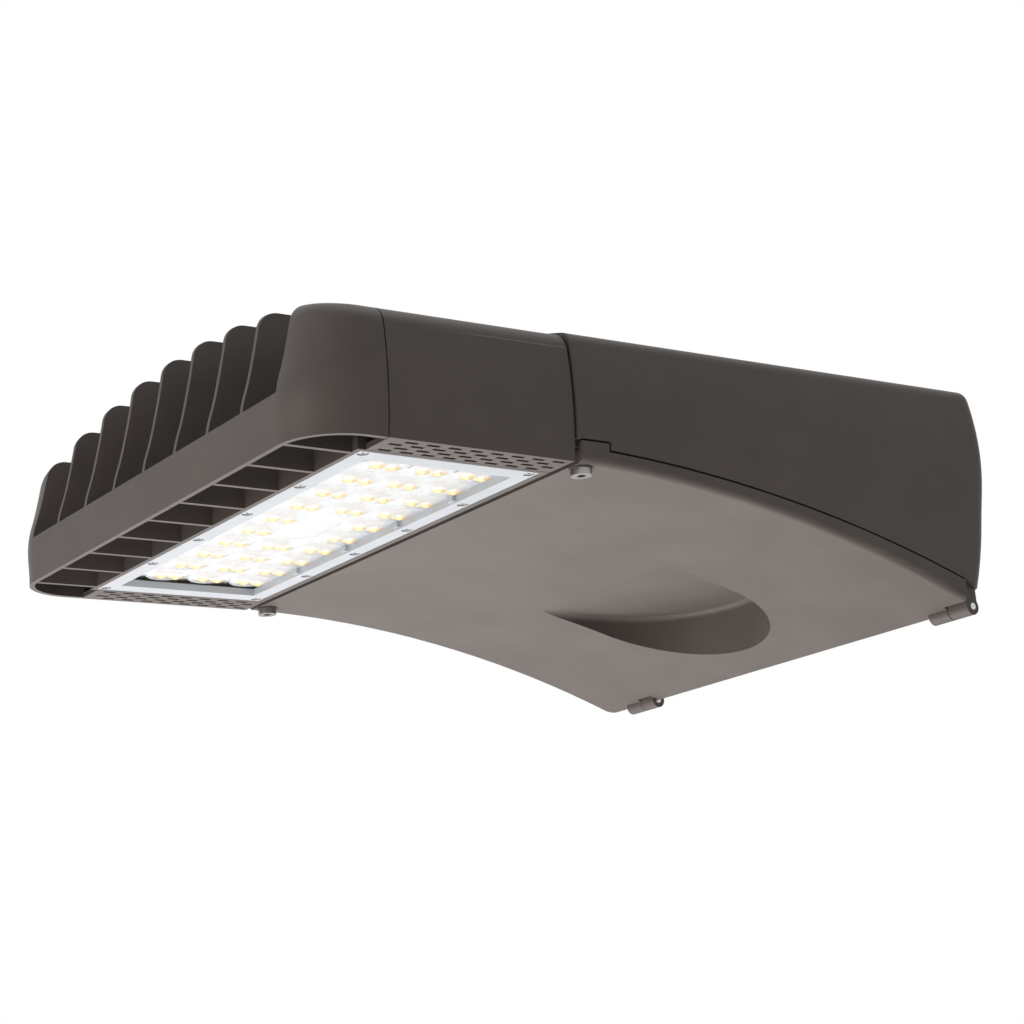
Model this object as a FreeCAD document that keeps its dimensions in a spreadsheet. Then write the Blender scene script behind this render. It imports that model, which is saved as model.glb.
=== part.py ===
import FreeCAD, Part
import math
import os
import re
from FreeCAD import Placement, Rotation, Vector

# Shoebox area light: a finned LED head in front, a driver housing behind it and a hinged door below.
# Frame: +X towards the nose, +Y to the luminaire's left, +Z up; the origin is the centre of the flat
# pad on the rear wall, where the luminaire meets its arm. "Back" is a distance behind the nose face and
# "rise" a height above the underside plane of the head.

SIZES = [
    # overall
    ("overall_length", 463.0, "nose face to mounting pad"),
    ("head_length", 155.2, "nose face to the rear of the finned head"),
    ("seam_gap", 1.4, "gap between head and housing, filled by the seam gasket"),
    ("optic_drop", 20.0, "underside plane of the head below the pad centre"),
    ("low_half_width", 170.0, "half width below the bulge"),
    ("bulge_half_width", 173.1, "half width at the widest line"),
    ("bulge_rise", 37.0, "rise of the widest line"),
    ("side_radius", 230.0, "radius of the bulging side in section"),
    ("side_rise", 64.8, "rise of the side's top edge at the nose"),
    ("crown_rise", 26.6, "how far the top crowns above the side edges"),
    ("top_slope", 0.018, "climb of the top towards the rear, per unit length"),
    ("top_round", 8.0, "rounding of the housing's top and rear edges"),
    ("housing_proud", 1.2, "housing stands this much proud of the head"),
    # nose
    ("band_rise", 26.3, "height of the bar across the nose"),
    ("band_wall", 3.0, "thickness of that bar"),
    ("nose_lean", 0.33, "lean of the fin fronts where they start"),
    ("nose_curve", 345.0, "radius that straightens the lean"),
    ("nose_round", 12.0, "rounding of the head's top edge"),
    ("corner_start", 140.0, "half width of the flat nose face"),
    ("corner_back", 33.0, "how far back the nose corners reach"),
    ("corner_shell_back", 43.2, "rear edge of the corner shells"),
    ("cast_wall", 3.0, "wall of the cast shells"),
    ("panel_gap", 0.7, "visible joint between corner shell and side cover"),
    # fins and base plate
    ("fin_count", 9, "fins"),
    ("fin_pitch", 35.4, "fin spacing"),
    ("fin_thickness", 2.8, "fin thickness"),
    ("base_front", 39.5, "front face of the base plate, back from the nose"),
    ("base_rise", 16.0, "top of the base plate"),
    ("base_half_width", 148.6, "half width of the base plate"),
    ("rear_wall", 4.0, "rear wall of the head"),
    ("duct_half_width", 8.0, "half width of the wire duct"),
    ("duct_rise", 32.0, "top of the wire duct"),
    ("duct_bore", 4.6, "radius of the wire duct's bore"),
    ("duct_bore_rise", 25.0, "axis of the wire duct"),
    # optic
    ("frame_front", 42.6, "front edge of the optic frame"),
    ("frame_rear", 150.7, "rear edge of the optic frame"),
    ("frame_half_width", 146.0, "half width of the optic frame"),
    ("frame_thickness", 4.2, "thickness of the optic frame"),
    ("frame_clearance", 0.3, "gap round the optic frame"),
    ("window_front", 52.5, "front edge of the frame's window"),
    ("window_rear", 141.0, "rear edge of the frame's window"),
    ("window_half_width", 134.5, "half width of the frame's window"),
    ("ledge_front", 49.5, "front edge of the board pocket"),
    ("ledge_rear", 144.0, "rear edge of the board pocket"),
    ("ledge_half_width", 139.5, "half width of the board pocket"),
    ("seal_thickness", 1.0, "optic gasket thickness"),
    ("pocket_clearance", 0.5, "gap between board and pocket wall"),
    ("lens_sheet", 1.2, "thickness of the lens sheet"),
    ("lens_radius", 10.5, "radius of a lens at its foot"),
    ("lens_rise", 2.6, "height of a lens"),
    ("lobe_radius", 13.1, "radius of the lobes along the lens sheet's ends"),
    ("lens_lift", 2.0, "height of the posts between lens sheet and board"),
    ("board_thickness", 1.6, "circuit board thickness"),
    ("pad_thickness", 0.5, "thermal pad thickness"),
    ("led_pitch", 26.2, "spacing of the LEDs across the light"),
    ("led_row_pitch", 27.5, "spacing of the LED rows"),
    ("led_row_back", 75.0, "first LED row, back from the nose"),
    ("led_columns", 10, "LEDs across the light"),
    ("led_rows", 3, "rows of LEDs"),
    ("led_side", 3.5, "side of an LED package"),
    ("led_height", 0.7, "height of an LED package"),
    ("led_dome", 1.5, "radius of an LED's dome"),
    ("frame_screw_radius", 1.5, "optic screw shank radius"),
    ("frame_screw_pitch", 54.6, "spacing of the optic screws"),
    ("frame_screw_inset", 3.8, "optic screw from the frame's edge"),
    # side covers
    ("cover_gap", 0.4, "gap between base plate and side cover"),
    ("strip_thickness", 3.0, "thickness of the slotted underside strip"),
    ("slot_length", 7.5, "length of a vent slot"),
    ("slot_width", 2.4, "width of a vent slot"),
    ("slot_pitch", 12.7, "spacing of the slots in a row"),
    ("slot_row_pitch", 4.8, "spacing of the slot rows"),
    ("slot_rows", 4, "rows of slots in each strip"),
    ("cover_screw_rise", 42.0, "height of the side cover screws"),
    ("cover_screw_front", 70.0, "front side cover screw, back from the nose"),
    ("cover_screw_rear", 130.0, "rear side cover screw"),
    # housing
    ("housing_wall", 3.2, "wall of the driver housing"),
    ("barrel_radius", 213.0, "radius of the barrelled rear wall"),
    ("barrel_rise", 34.0, "rise of the barrel's centre line"),
    ("pad_proud", 1.0, "pad stands this much proud of the barrelled wall"),
    ("arc_back", 140.0, "where the door's underside is level, back from the nose"),
    ("lip_radius", 906.0, "radius of the housing's lower edge"),
    ("lip_rise", 8.5, "rise of the housing's lower edge where it is level"),
    ("door_radius", 828.0, "radius of the door's underside"),
    ("door_rise", 0.2, "rise of the door's underside where it is level"),
    ("door_gap", 1.2, "gap between housing lip and door"),
    ("door_front", 159.0, "front edge of the door, back from the nose"),
    ("door_wall", 3.0, "door thickness"),
    ("door_round", 4.0, "rounding of the door's lower edges"),
    ("rim_width", 7.5, "width of the sealing rim at the sides"),
    ("rim_height", 8.0, "height of the sealing rim"),
    ("rim_front_back", 180.0, "rear edge of the rim's front run, back from the nose"),
    ("rim_rear", 38.5, "front edge of the rim's rear run, forward of the pad"),
    ("gasket_width", 5.2, "door gasket width"),
    ("gasket_height", 3.0, "door gasket height"),
    ("gasket_clearance", 0.3, "gap between door gasket and rim"),
    # recess in the door
    ("recess_half_width", 61.5, "half width of the recess, and radius of its round end"),
    ("recess_centre", 108.0, "centre of the round end, forward of the pad"),
    ("recess_front", 160.0, "where the level floor meets the door's underside, forward of the pad"),
    ("recess_round", 4.0, "rounding round the recess floor"),
    # hinge
    ("hinge_x", 21.5, "hinge axis forward of the pad"),
    ("hinge_rise", 0.844, "hinge axis above the door's underside"),
    ("knuckle_radius", 5.0, "hinge knuckle radius"),
    ("knuckle_length", 15.0, "door knuckle length"),
    ("hinge_pin_radius", 2.0, "hinge pin radius"),
    ("pin_clearance", 0.06, "running clearance of the pin in the door"),
    ("hinge_side_gap", 0.5, "gap beside each knuckle"),
    ("left_knuckle_start", 137.0, "inner end of the door knuckle at +Y"),
    ("left_lug_length", 14.5, "length of the housing lug at +Y"),
    ("right_knuckle_start", -146.0, "outer end of the door knuckle at -Y"),
    ("right_lug_length", 12.5, "length of the housing lug at -Y"),
    # captive screws
    ("captive_back", 165.6, "captive screw axis, back from the nose"),
    ("captive_half_width", 161.5, "captive screw axis from the middle"),
    ("captive_radius", 2.5, "captive screw shank radius"),
    ("captive_hole", 3.3, "captive screw hole radius"),
    ("captive_head_radius", 5.6, "captive screw head radius"),
    ("captive_head_height", 3.4, "captive screw head height"),
    ("captive_engagement", 2.9, "how far the screw reaches into the rim"),
    ("captive_travel", 3.1, "how far the loosened screw drops"),
    ("washer_radius", 4.4, "retaining washer radius"),
    ("washer_thickness", 0.8, "retaining washer thickness"),
    # mounting
    ("pad_half_width", 35.0, "half width of the mounting pad"),
    ("pad_half_height", 52.0, "half height of the mounting pad"),
    ("pad_depth", 12.0, "depth of the mounting pad's block"),
    ("bolt_spacing", 76.2, "vertical spacing of the arm bolts"),
    ("bolt_hole", 5.5, "arm bolt hole radius"),
    ("entry_hole", 12.0, "wire entry hole radius"),
    ("entry_bore", 8.0, "bore of the wire entry bushing"),
    ("entry_flange", 15.5, "flange radius of the wire entry bushing"),
    ("plate_thickness", 4.0, "backing plate thickness"),
    # inside
    ("tray_rise", 57.0, "underside of the gear tray"),
    ("tray_thickness", 1.5, "gear tray thickness"),
    ("tray_rear", 401.0, "rear edge of the gear tray, back from the nose"),
    ("tray_front", 173.0, "front edge of the gear tray, back from the nose"),
    ("tray_half_width", 122.0, "half width of the gear tray"),
    ("post_radius", 6.0, "radius of the housing's mounting posts"),
    ("driver_length", 184.0, "LED driver length"),
    ("driver_width", 62.0, "LED driver width"),
    ("driver_height", 36.0, "LED driver height"),
    ("driver_rear", 377.0, "rear end of the LED driver, back from the nose"),
    ("driver_inner", 54.0, "inner side of the LED driver"),
    ("surge_length", 62.0, "surge protector length"),
    ("surge_width", 38.0, "surge protector width"),
    ("surge_height", 30.0, "surge protector height"),
    ("block_length", 26.0, "terminal block length"),
    ("block_width", 60.0, "terminal block width"),
    ("block_height", 18.0, "terminal block height"),
    ("joint_screw_radius", 3.0, "radius of the screws between head and housing"),
    ("small_screw_radius", 2.0, "radius of the small fixing screws"),
    ("lead_radius", 1.3, "radius of the internal leads"),
    ("fit", 0.05, "radial clearance of a screw in its thread"),
    ("loose", 0.5, "radial clearance of a screw in a plain hole"),
]

doc = FreeCAD.newDocument("area_light")
sheet = doc.addObject("Spreadsheet::Sheet", "Sizes")
for row, (alias, number, note) in enumerate(SIZES, start=1):
    sheet.set(f"A{row}", alias)
    sheet.set(f"B{row}", str(number))
    sheet.set(f"C{row}", note)
    sheet.setAlias(f"B{row}", alias)
doc.recompute()
ALIASES = {alias for alias, number, note in SIZES}


def linked(text):
    """A formula on the sheet's sizes, with each size's name pointing at its cell."""
    return re.sub(r"[a-z_]+", lambda word: f"Sizes.{word[0]}" if word[0] in ALIASES else word[0], str(text))


def val(text):
    """The number that a formula on the sheet's sizes gives now."""
    result = sheet.evalExpression(linked(text))
    return float(getattr(result, "Value", result))


def back(text):
    """X of a place given as a distance behind the nose."""
    return f"(overall_length - ({text}))"


def rise(text):
    """Z of a place given as a height above the head's underside."""
    return f"(({text}) - optic_drop)"


# ---------------------------------------------------------------- document objects
def bind(item, **formulas):
    for name, text in formulas.items():
        item.setExpression(name.replace("_", "."), linked(text))


def place(item, x, y, z):
    item.setExpression("Placement.Base.x", linked(x))
    item.setExpression("Placement.Base.y", linked(y))
    item.setExpression("Placement.Base.z", linked(z))


def box(name, x, y, z):
    """A block between the low and high formulas of x, y and z."""
    item = doc.addObject("Part::Box", name)
    bind(item, Length=f"({x[1]}) - ({x[0]})", Width=f"({y[1]}) - ({y[0]})", Height=f"({z[1]}) - ({z[0]})")
    place(item, x[0], y[0], z[0])
    return item


TURNS = {"+Z": Rotation(), "-Z": Rotation(Vector(1, 0, 0), 180), "+X": Rotation(Vector(0, 1, 0), 90),
         "-X": Rotation(Vector(0, 1, 0), -90), "+Y": Rotation(Vector(1, 0, 0), -90),
         "-Y": Rotation(Vector(1, 0, 0), 90)}


def rod(name, radius, length, x, y, z, way="+Z"):
    """A cylinder that starts at x, y, z and runs the given way."""
    item = doc.addObject("Part::Cylinder", name)
    item.Placement = Placement(Vector(), TURNS[way])
    bind(item, Radius=radius, Height=length)
    place(item, x, y, z)
    return item


def solid(name, shape):
    """A cast or formed shape that no primitive gives."""
    item = doc.addObject("Part::Feature", name)
    item.Shape = shape
    return item


def fuse(name, parts):
    item = doc.addObject("Part::MultiFuse", name)
    item.Shapes = parts
    return item


def cut(name, base, tools):
    """Base without the tools."""
    item = doc.addObject("Part::Cut", name)
    item.Base = base
    item.Tool = tools[0] if len(tools) == 1 else fuse(name + "_tools", tools)
    return item


def common(name, first, second):
    item = doc.addObject("Part::Common", name)
    item.Base, item.Tool = first, second
    return item


def group(name, parts):
    """Like pieces that share one node, each still a solid of its own."""
    item = doc.addObject("Part::Compound", name)
    item.Links = parts
    return item


NODES = []


def node(label, item):
    """Names a finished sub-part; the name is also its file's."""
    item.Label = label
    NODES.append((label, item))
    return item


def screw(name, x, y, z, way, shank, length, head, height, socket):
    """A socket screw whose head sits at x, y, z and whose shank runs the given way."""
    turn = TURNS[way]
    axis = turn.multVec(Vector(0, 0, 1))
    stem = rod(name + "_shank", shank, f"({length}) + ({height})", x, y, z, way)
    cap = rod(name + "_head", head, height, x, y, z, way)
    for item, sign in ((stem, 1), (cap, 1)):
        for letter, part in zip("xyz", (x, y, z)):
            shift = getattr(axis, letter)
            item.setExpression(f"Placement.Base.{letter}", linked(f"({part}) - ({height}) * {shift:.0f}"))
    key = doc.addObject("Part::Prism", name + "_socket")
    key.Polygon = 6
    key.Placement = Placement(Vector(), turn)
    bind(key, Circumradius=socket, Height=f"({height}) * 0.6")
    for letter, part in zip("xyz", (x, y, z)):
        shift = getattr(axis, letter)
        key.setExpression(f"Placement.Base.{letter}", linked(f"({part}) - ({height}) * {shift:.0f}"))
    return cut(name, fuse(name + "_blank", [stem, cap]), [key])


# ---------------------------------------------------------------- outlines
def segment(a, b):
    return Part.LineSegment(a, b).toShape()


def bow(a, b, c):
    return Part.Arc(a, b, c).toShape()


def face(edges):
    return Part.Face(Part.Wire(Part.__sortEdges__(edges)))


def half_width(height):
    """Half width of the bulging side at a height above the underside."""
    return val("bulge_half_width") - (height - val("bulge_rise")) ** 2 / (2 * val("side_radius"))


def nose_back(height):
    """How far the fin fronts stand behind the nose face at a height above the underside."""
    above = max(0.0, height - val("band_rise"))
    return val("nose_lean") * above - above ** 2 / (2 * val("nose_curve"))


def side_top(grow):
    return val("side_rise") + grow


def crown_prism(x_front, x_rear, low, grow):
    """Everything under the crowned, gently climbing top between two stations."""
    z = val(rise(0))
    wide = val("bulge_half_width") + 40
    climb = (val("overall_length") - x_front) * val("top_slope")
    edge = z + side_top(grow) + climb
    reach = half_width(side_top(0)) + grow
    # the crown's circle is carried past the side edges, so the side walls decide where it ends
    radius = (reach ** 2 + val("crown_rise") ** 2) / (2 * val("crown_rise"))
    top = edge + val("crown_rise")
    drop = radius - math.sqrt(radius ** 2 - wide ** 2)
    left, right = Vector(x_front, wide, top - drop), Vector(x_front, -wide, top - drop)
    foot_left, foot_right = Vector(x_front, wide, low), Vector(x_front, -wide, low)
    outline = [bow(left, Vector(x_front, 0, top), right), segment(right, foot_right),
               segment(foot_right, foot_left), segment(foot_left, left)]
    run = x_front - x_rear
    return face(outline).extrude(Vector(-run, 0, run * val("top_slope")))


def head_loft(grow, low):
    """The head's plan outline, stacked: flat nose, elliptical corners, bulging sides, leaning front."""
    sections = []
    rear = val(back("head_length"))
    foot = [-low] if low else []
    for height in foot + [0.0, 13.0, 22.0, 30.0, 40.0, 52.0, 66.0, 84.0, 108.0]:
        z = val(rise(0)) + height
        front = val("overall_length") - nose_back(height) + grow
        start = val("corner_start")
        side = half_width(max(height, 0.0)) + grow
        centre = val(back("corner_back"))
        k = 0.5523
        edges = [segment(Vector(front, -start, z), Vector(front, start, z))]
        for s in (1, -1):
            curve = Part.BezierCurve()
            curve.setPoles([Vector(front, s * start, z), Vector(front, s * (start + k * (side - start)), z),
                            Vector(centre + k * (front - centre), s * side, z), Vector(centre, s * side, z)])
            corner = curve.toShape()
            wall = segment(Vector(centre, s * side, z), Vector(rear, s * side, z))
            edges += [corner, wall]
        edges.append(segment(Vector(rear, side, z), Vector(rear, -side, z)))
        front_edge, left_corner, left_wall, right_corner, right_wall, back_edge = edges
        wire = Part.Wire([front_edge, left_corner, left_wall, back_edge, right_wall, right_corner])
        sections.append(wire)
    return Part.makeLoft(sections, True, False)


def head_hull(grow, low=0.0):
    """The head's outer form, or one shrunk by a wall."""
    nose = val("overall_length")
    crown = crown_prism(nose + 5, val(back("head_length")) - 5, val(rise(0)) - 40, grow)
    shape = head_loft(grow, low).common(crown)
    top = val(rise("side_rise")) - 8
    radius = val("nose_round") + grow

    def on_top(edge):
        bounds = edge.BoundBox
        rear = bounds.XMax < val(back("head_length")) + 0.5
        return bounds.ZMin > top and not rear and edge.Length > 5

    return shape.makeFillet(radius, [edge for edge in shape.Edges if on_top(edge)])


def side_curve(x, sign, grow, top):
    """The side in section: upright low down, then bulging."""
    z = val(rise(0))
    low = val("low_half_width") + grow
    points = [Vector(x, sign * low, z - 10)]
    for height in (val("bulge_rise") * 0.4, val("bulge_rise")):
        points.append(Vector(x, sign * (half_width(height) + grow), z + height))
    points.append(Vector(x, sign * (half_width(top) + grow), z + top))
    curve = Part.BSplineCurve()
    curve.interpolate(Points=points, InitialTangent=Vector(0, 0, 1),
                      FinalTangent=Vector(0, -sign * (top - val("bulge_rise")) / val("side_radius"), 1))
    return curve.toShape()


HULL_LOW = -130.0
HULL_HIGH = 130.0


def housing_hull(grow, radius, front):
    """The housing's outer form, or one shrunk by a wall, with its top and rear edges rounded."""
    z = val(rise(0))
    climb = (val("overall_length") - front) * val("top_slope")
    top = side_top(grow) + climb
    low = val("low_half_width") + grow
    z_low = HULL_LOW
    points = {s: Vector(front, s * low, z - 10) for s in (1, -1)}
    tops = {s: Vector(front, s * (half_width(top) + grow), z + top) for s in (1, -1)}
    outline = [segment(Vector(front, -low, z_low), Vector(front, low, z_low))]
    for s in (1, -1):
        outline.append(segment(Vector(front, s * low, z_low), points[s]))
        outline.append(side_curve(front, s, grow, top))
    outline.append(bow(tops[1], Vector(front, 0, z + top + val("crown_rise")), tops[-1]))
    run = front + 40
    shape = face(outline).extrude(Vector(-run, 0, run * val("top_slope")))
    shape = shape.common(barrel(grow)).removeSplitter()
    if not radius:
        return shape
    level = z + val("side_rise") - 8

    def rounded(edge):
        bounds = edge.BoundBox
        upper = bounds.ZMin > level and (bounds.XLength > 20 or bounds.XMax < 60)
        corner = bounds.XMax < 80 and bounds.ZLength > 20 and bounds.YLength < 8 and abs(bounds.YMin) > 100
        return upper or corner

    return shape.makeFillet(radius, [edge for edge in shape.Edges if rounded(edge)])


def barrel(grow):
    """Everything in front of the barrelled rear wall."""
    radius = val("barrel_radius") + grow
    middle = val(rise("barrel_rise"))
    reach = 400.0

    def wall(z):
        return val("pad_proud + barrel_radius") - math.sqrt(radius ** 2 - (z - middle) ** 2)

    low = Vector(wall(HULL_LOW), -reach, HULL_LOW)
    high = Vector(wall(HULL_HIGH), -reach, HULL_HIGH)
    far = val("overall_length") + 20
    outline = [bow(low, Vector(wall(middle), -reach, middle), high), segment(high, Vector(far, -reach, HULL_HIGH)),
               segment(Vector(far, -reach, HULL_HIGH), Vector(far, -reach, HULL_LOW)),
               segment(Vector(far, -reach, HULL_LOW), low)]
    return face(outline).extrude(Vector(0, 2 * reach, 0))


def arc_height(radius, level, x):
    """Z of a long arc that is level at arc_back, at station x."""
    middle = val(back("arc_back"))
    return val(rise(level)) - radius + math.sqrt(radius ** 2 - (x - middle) ** 2)


def lip(x, lift=0.0):
    return arc_height(val("lip_radius"), "lip_rise", x) + lift


def underside(x, lift=0.0):
    return arc_height(val("door_radius"), "door_rise", x) + lift


def level(height):
    """A flat boundary, for between()."""
    return lambda x, lift=0.0: height + lift


def between(low, high, x0, x1, y0, y1):
    """A slab across Y, between a low and a high boundary that are functions of x."""
    def edge(boundary):
        a, b = boundary(x0), boundary(x1)
        middle = (x0 + x1) / 2
        start, end = Vector(x0, y0, a), Vector(x1, y0, b)
        if abs(boundary(middle) - (a + b) / 2) < 1e-7:
            return segment(start, end)
        return bow(start, Vector(middle, y0, boundary(middle)), end)

    outline = [edge(low), edge(high), segment(Vector(x0, y0, low(x0)), Vector(x0, y0, high(x0))),
               segment(Vector(x1, y0, low(x1)), Vector(x1, y0, high(x1)))]
    return face(outline).extrude(Vector(0, y1 - y0, 0))


def lifted(boundary, lift):
    return lambda x: boundary(x, lift)


def ring(low, high, outer, inner):
    """A rectangular ring in plan, between two boundaries; outer and inner are x0, x1, half width."""
    x0, x1, wide = outer
    shape = between(low, high, x0, x1, -wide, wide)
    x0, x1, wide = inner
    return shape.cut(between(level(HULL_LOW), level(HULL_HIGH), x0, x1, -wide, wide))


# ---------------------------------------------------------------- places used by several pieces
FLOOR = rise(0)
CEILING = rise("side_rise + crown_rise + 20")
HEAD_REAR = back("head_length")
HOUSING_FRONT = f"({HEAD_REAR} - seam_gap)"
BULKHEAD_REAR = f"({HOUSING_FRONT} - housing_wall)"
OUTER_FIN = "(fin_pitch * (fin_count - 1) / 2)"
LENS_FACE = rise("frame_thickness")
LENS_BACK = rise("frame_thickness + lens_sheet")
BOARD_FACE = rise("frame_thickness + lens_sheet + lens_lift")
BOARD_BACK = rise("frame_thickness + lens_sheet + lens_lift + board_thickness")
BACKPLANE = rise("frame_thickness + lens_sheet + lens_lift + board_thickness + pad_thickness")
DUCT_X = back("led_row_back + led_row_pitch")
DUCT_Z = rise("duct_bore_rise")
JOINTS = [("fin_pitch * 1.5", rise(65)), ("-fin_pitch * 1.5", rise(65)),
          ("fin_pitch * 3.5", rise(35)), ("-fin_pitch * 3.5", rise(35))]
COVER_FIXES = [back("cover_screw_front"), back("cover_screw_rear")]
FRAME_FIXES = [(x, f"({k} * frame_screw_pitch)") for k in (-1.5, -0.5, 0.5, 1.5)
               for x in (back("frame_front + frame_screw_inset"), back("frame_rear - frame_screw_inset"))]
FRAME_FIXES += [(x, f"({s} * (frame_half_width - frame_screw_inset))") for s in (-1, 1)
                for x in (back("frame_front + frame_screw_inset"), back("frame_rear - frame_screw_inset"))]
BOARD_FIXES = [(back(f"led_row_back + led_row_pitch * {r}"), f"({k} * led_pitch)")
               for r in (0.5, 1.5) for k in (-4, -2, 2, 4)]
LEDS = []
for row in range(int(val("led_rows"))):
    for column in range(int(val("led_columns"))):
        place_across = column - (val("led_columns") - 1) / 2
        # the middle of the centre row carries the board's connector instead
        if row == 1 and abs(place_across) < 1:
            continue
        LEDS.append((back(f"led_row_back + led_row_pitch * {row}"), f"({place_across} * led_pitch)"))
CAPTIVE_X = back("captive_back")
CAPTIVE_SEAT = rise("door_rise - 1.1")
HINGE_Z = (f"({rise('door_rise')} - door_radius + sqrt(door_radius^2 - (hinge_x - {back('arc_back')})^2)"
           " + hinge_rise)")
TRAY_Z = rise("tray_rise")
TRAY_FIXES = [(x, f"({s} * (tray_half_width - 12))") for x in ("((overall_length - tray_rear) + 12)", "((overall_length - tray_front) - 12)")
              for s in (-1, 1)]


def sided(sign, low, high):
    """A span in Y given for the +Y side, turned to the other side when the sign asks."""
    return (low, high) if sign > 0 else (f"-({high})", f"-({low})")


def middle(half):
    return (f"-({half})", half)


# ---------------------------------------------------------------- heat sink: one casting
head_form = solid("head_form", head_hull(0.0))
head_inside = solid("head_inside", head_hull(-val("cast_wall"), 10.0))
slabs = []
for k in range(int(val("fin_count"))):
    y = f"(({k} - (fin_count - 1) / 2) * fin_pitch)"
    slabs.append(box(f"fin_slab_{k}", (HEAD_REAR, "overall_length + 1"),
                     (f"{y} - fin_thickness / 2", f"{y} + fin_thickness / 2"), (FLOOR, CEILING)))
fins = common("fins", head_form, fuse("fin_slabs", slabs))
band = common("band", head_form, box("band_block", ("overall_length - band_wall", "overall_length + 1"),
                                     middle(OUTER_FIN), (FLOOR, rise("band_rise"))))
skin = cut("head_skin", head_form, [head_inside])
corner_blocks = [box(f"corner_block_{s}", (back("corner_shell_back"), "overall_length + 1"),
                     sided(s, f"{OUTER_FIN} - 1", "bulge_half_width + 10"), (FLOOR, CEILING)) for s in (1, -1)]
corners = common("corner_shells", skin, fuse("corner_blocks", corner_blocks))
base = box("base_block", (HEAD_REAR, back("base_front")), middle("base_half_width"), (FLOOR, rise("base_rise")))
wall_face = head_hull(-val("cast_wall") - 0.4, 10.0)
rear_wall = common("rear_wall", solid("rear_wall_form", wall_face),
                   box("rear_wall_block", (HEAD_REAR, f"{HEAD_REAR} + rear_wall"), middle("bulge_half_width"),
                       (rise("base_rise - 1"), CEILING)))
duct = box("duct_block", (HEAD_REAR, f"{DUCT_X} + duct_half_width"), middle("duct_half_width"),
           (rise("base_rise - 1"), rise("duct_rise")))
bosses = [rod(f"joint_boss_{k}", "joint_screw_radius * 2", "14", f"{HEAD_REAR} + 0.5", y, z, "+X")
          for k, (y, z) in enumerate(JOINTS)]
outer_pocket = box("optic_pocket", (back("frame_rear + frame_clearance"), back("frame_front - frame_clearance")),
                   middle("frame_half_width + frame_clearance"),
                   (f"{FLOOR} - 1", rise("frame_thickness + seal_thickness")))
inner_pocket = box("board_pocket", (back("ledge_rear"), back("ledge_front")), middle("ledge_half_width"),
                   (f"{FLOOR} - 1", BACKPLANE))
bores = [rod("duct_down", "duct_bore", f"{DUCT_Z} + duct_bore - ({BACKPLANE}) + 1", DUCT_X, "0",
             f"{BACKPLANE} - 1"),
         rod("duct_along", "duct_bore", f"{DUCT_X} - {HEAD_REAR} + 1", f"{HEAD_REAR} - 1", "0", DUCT_Z, "+X")]
for k, (y, z) in enumerate(JOINTS):
    bores.append(rod(f"joint_thread_{k}", "joint_screw_radius + fit", "13.5", f"{HEAD_REAR} - 0.5", y, z, "+X"))
for k, (x, y) in enumerate(FRAME_FIXES):
    bores.append(rod(f"frame_thread_{k}", "frame_screw_radius + fit", "8.5", x, y,
                     rise("frame_thickness + seal_thickness - 1")))
for k, (x, y) in enumerate(BOARD_FIXES):
    bores.append(rod(f"board_thread_{k}", "frame_screw_radius + fit", "5.6", x, y, f"{BACKPLANE} - 1"))
for s in (1, -1):
    for k, x in enumerate(COVER_FIXES):
        bores.append(rod(f"cover_hole_{k}_{s}", "small_screw_radius + loose", "fin_thickness + 2", x,
                         f"({s}) * ({OUTER_FIN} - fin_thickness / 2 - 1)", rise("cover_screw_rise"),
                         "+Y" if s > 0 else "-Y"))
casting = fuse("heat_sink_casting", [fins, band, corners, base, rear_wall, duct] + bosses)
heat_sink = node("heat_sink", cut("heat_sink_machined", casting, [outer_pocket, inner_pocket] + bores))


# ---------------------------------------------------------------- side covers with the slotted strips
def side_cover(sign, word):
    """One cover: side and top skin, the slotted strip underneath and two posts for its screws."""
    span = (HEAD_REAR, back("corner_shell_back + panel_gap"))
    inner = f"{OUTER_FIN} + fin_thickness / 2 + cover_gap"
    outer = "bulge_half_width + 10"
    shell = common(f"cover_shell_{word}", skin,
                   box(f"cover_block_{word}", span, sided(sign, inner, outer), (FLOOR, CEILING)))
    strip = common(f"cover_strip_{word}", head_form,
                   box(f"strip_block_{word}", span, sided(sign, "base_half_width + cover_gap", outer),
                       (FLOOR, f"{FLOOR} + strip_thickness")))
    posts = []
    threads = []
    way = "+Y" if sign > 0 else "-Y"
    for k, x in enumerate(COVER_FIXES):
        z = rise("cover_screw_rise")
        posts.append(rod(f"cover_post_{word}_{k}", "small_screw_radius + 3",
                         f"bulge_half_width - cast_wall / 2 - ({inner})", x, f"({sign}) * ({inner})", z, way))
        threads.append(rod(f"cover_thread_{word}_{k}", "small_screw_radius + fit", "11.5", x,
                           f"({sign}) * ({inner} - 1)", z, way))
    slots = []
    for row in range(int(val("slot_rows"))):
        y = f"(base_half_width + cover_gap + 2.4 + slot_row_pitch * {row})"
        for k in range(8):
            x = back(f"53 + slot_pitch * {k + row % 2 / 2}")
            slots.append(box(f"slot_{word}_{row}_{k}", (f"{x} - slot_length / 2", f"{x} + slot_length / 2"),
                             sided(sign, f"{y} - slot_width / 2", f"{y} + slot_width / 2"),
                             (f"{FLOOR} - 1", f"{FLOOR} + strip_thickness + 1")))
    body = fuse(f"cover_body_{word}", [shell, strip] + posts)
    return node(f"side_cover_{word}", cut(f"cover_{word}", body, threads + slots))


side_cover(1, "left")
side_cover(-1, "right")
cover_screws = []
for s, way in ((1, "+Y"), (-1, "-Y")):
    for k, x in enumerate(COVER_FIXES):
        cover_screws.append(screw(f"cover_screw_{k}_{s}", x, f"({s}) * ({OUTER_FIN} - fin_thickness / 2)",
                                  rise("cover_screw_rise"), way, "small_screw_radius", "12",
                                  "small_screw_radius * 1.9", "2.6", "1.4"))
node("side_cover_screws", group("cover_screw_set", cover_screws))


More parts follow.
